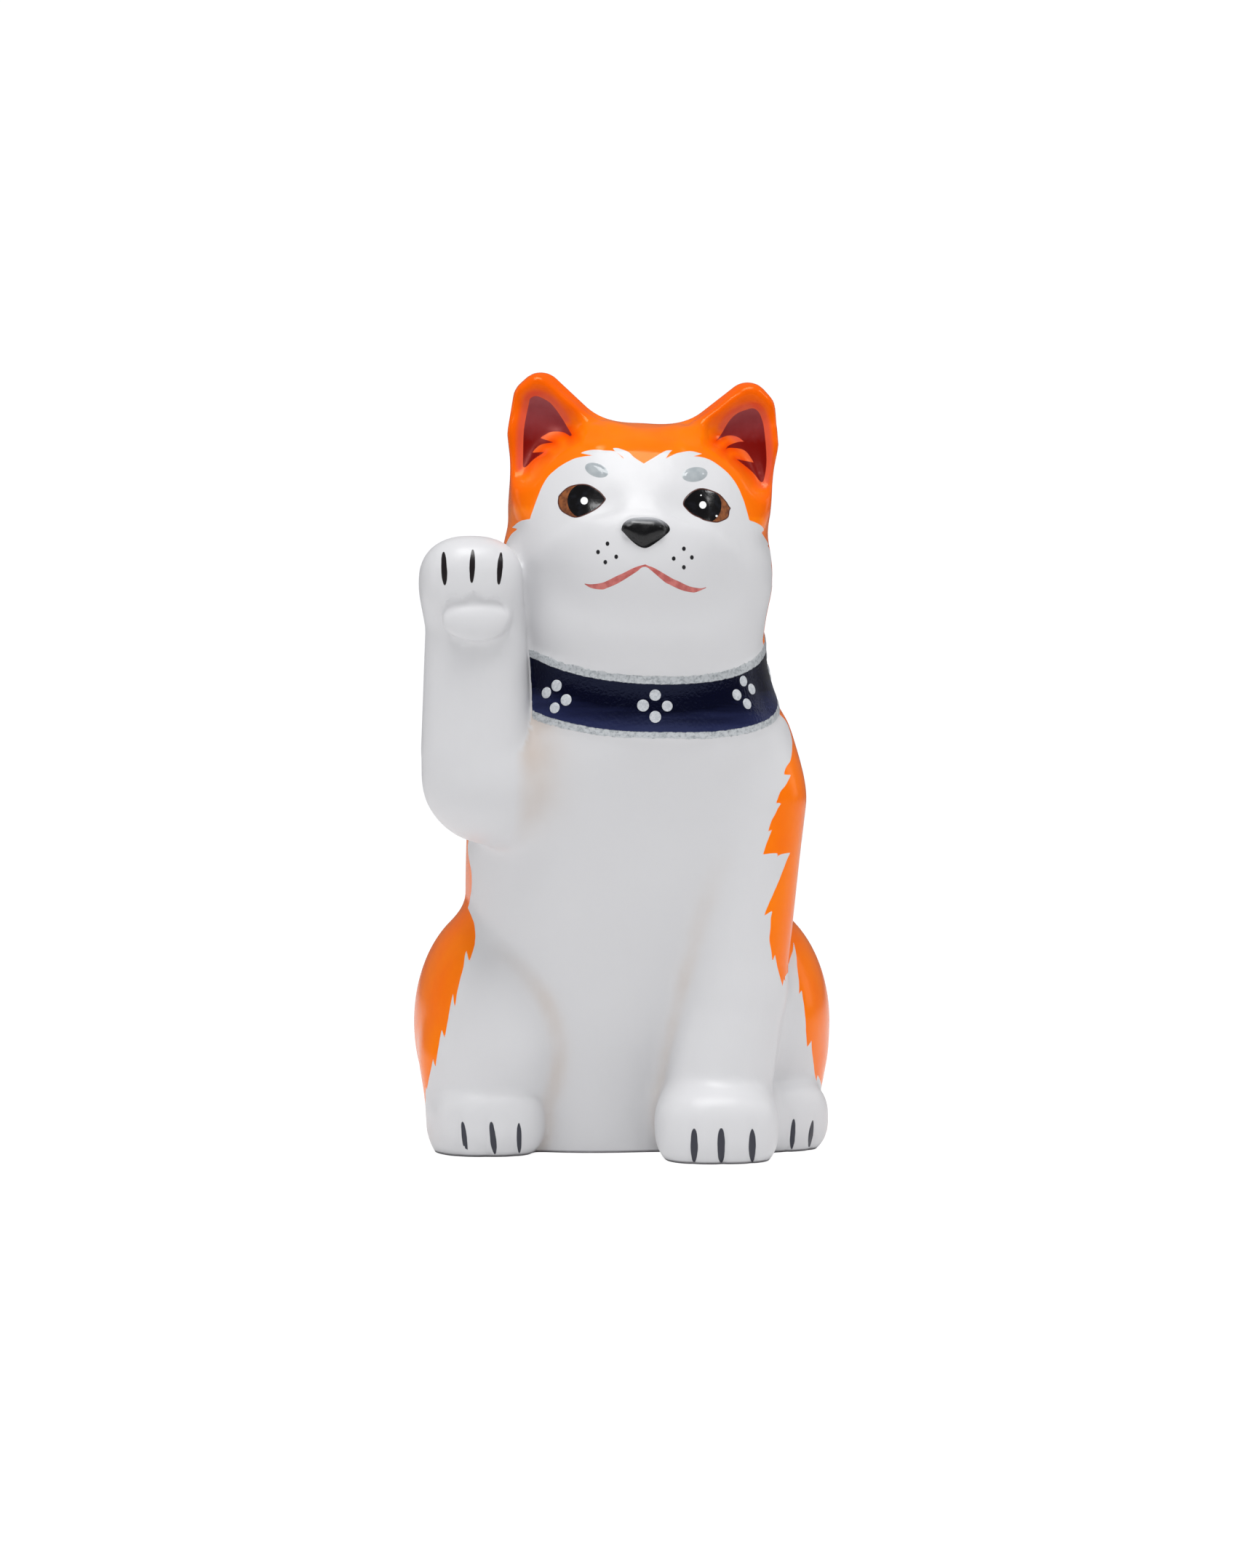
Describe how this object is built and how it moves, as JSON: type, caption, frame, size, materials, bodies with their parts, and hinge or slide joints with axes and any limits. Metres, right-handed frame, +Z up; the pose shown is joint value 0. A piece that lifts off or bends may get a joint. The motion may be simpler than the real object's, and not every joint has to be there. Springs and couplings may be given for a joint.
{
  "type": "beckoning dog figurine",
  "caption": "Seated dog figurine with the right forepaw raised beside the cheek, pricked cupped ears, a collar as a raised band, a curled tail and a flat base.",
  "frame": {"origin": "middle of the flat underside, at the centre of the figure's bounding box", "axes": "+Z up along the seated figure, -Y towards the dog's front, +X towards the dog's left side"},
  "size_m": [0.0888, 0.0874, 0.1546],
  "materials": {
    "painted_casting": "hand painted in white, orange and navy under a satin clear coat"
  },
  "bodies": {
    "root": {"beckoning_dog": "painted_casting"}
  },
  "joints": []
}
